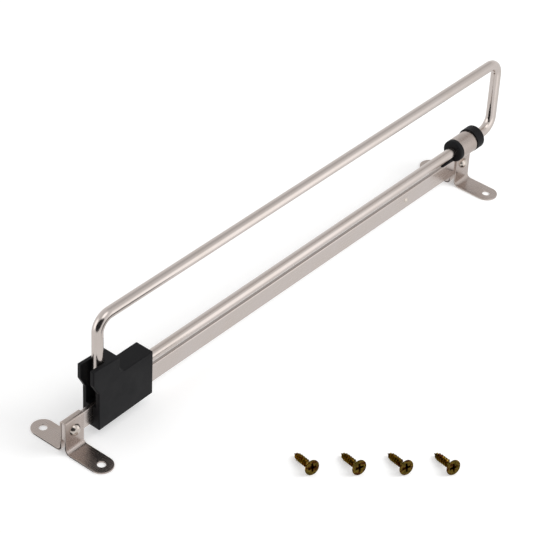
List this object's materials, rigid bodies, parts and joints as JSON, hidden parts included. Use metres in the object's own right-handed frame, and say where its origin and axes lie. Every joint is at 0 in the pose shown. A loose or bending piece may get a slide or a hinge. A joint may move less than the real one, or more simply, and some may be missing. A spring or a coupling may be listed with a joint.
{
  "type": "pull-out closet valet rod",
  "caption": "Pull-out wardrobe valet rod: a bent wire loop slides along a flat bar on a plastic slider and bush, on footed screw-on brackets.",
  "frame": {"origin": "centre of the rectangle of four screw holes, on the plane that the bracket feet are screwed to", "axes": "+X is the way the loop pulls out, +Z points from the mounting plane through the guide bar to the loop, +Y completes the right-handed frame"},
  "size_m": [0.479, 0.2388, 0.0972],
  "materials": {
    "plated_steel": "polished nickel plate",
    "black_plastic": "moulded, matt",
    "yellow_zinc": "yellow passivated zinc plate on steel"
  },
  "bodies": {
    "rail": {"guide_bar": "plated_steel", "stop_pin": "plated_steel", "rear_bracket": "plated_steel", "rear_rivet": "plated_steel", "front_bracket": "plated_steel", "front_rivet": "plated_steel", "front_bush": "black_plastic", "mounting_screws": "yellow_zinc"},
    "loop": {"rod_loop": "plated_steel", "slider_block": "black_plastic", "clamp_screw": "plated_steel"}
  },
  "joints": [
    {"name": "loop_slide", "type": "slide", "parent": "rail", "child": "loop", "axis": [1, 0, 0], "range_m": [-0.008, 0.2863]}
  ]
}
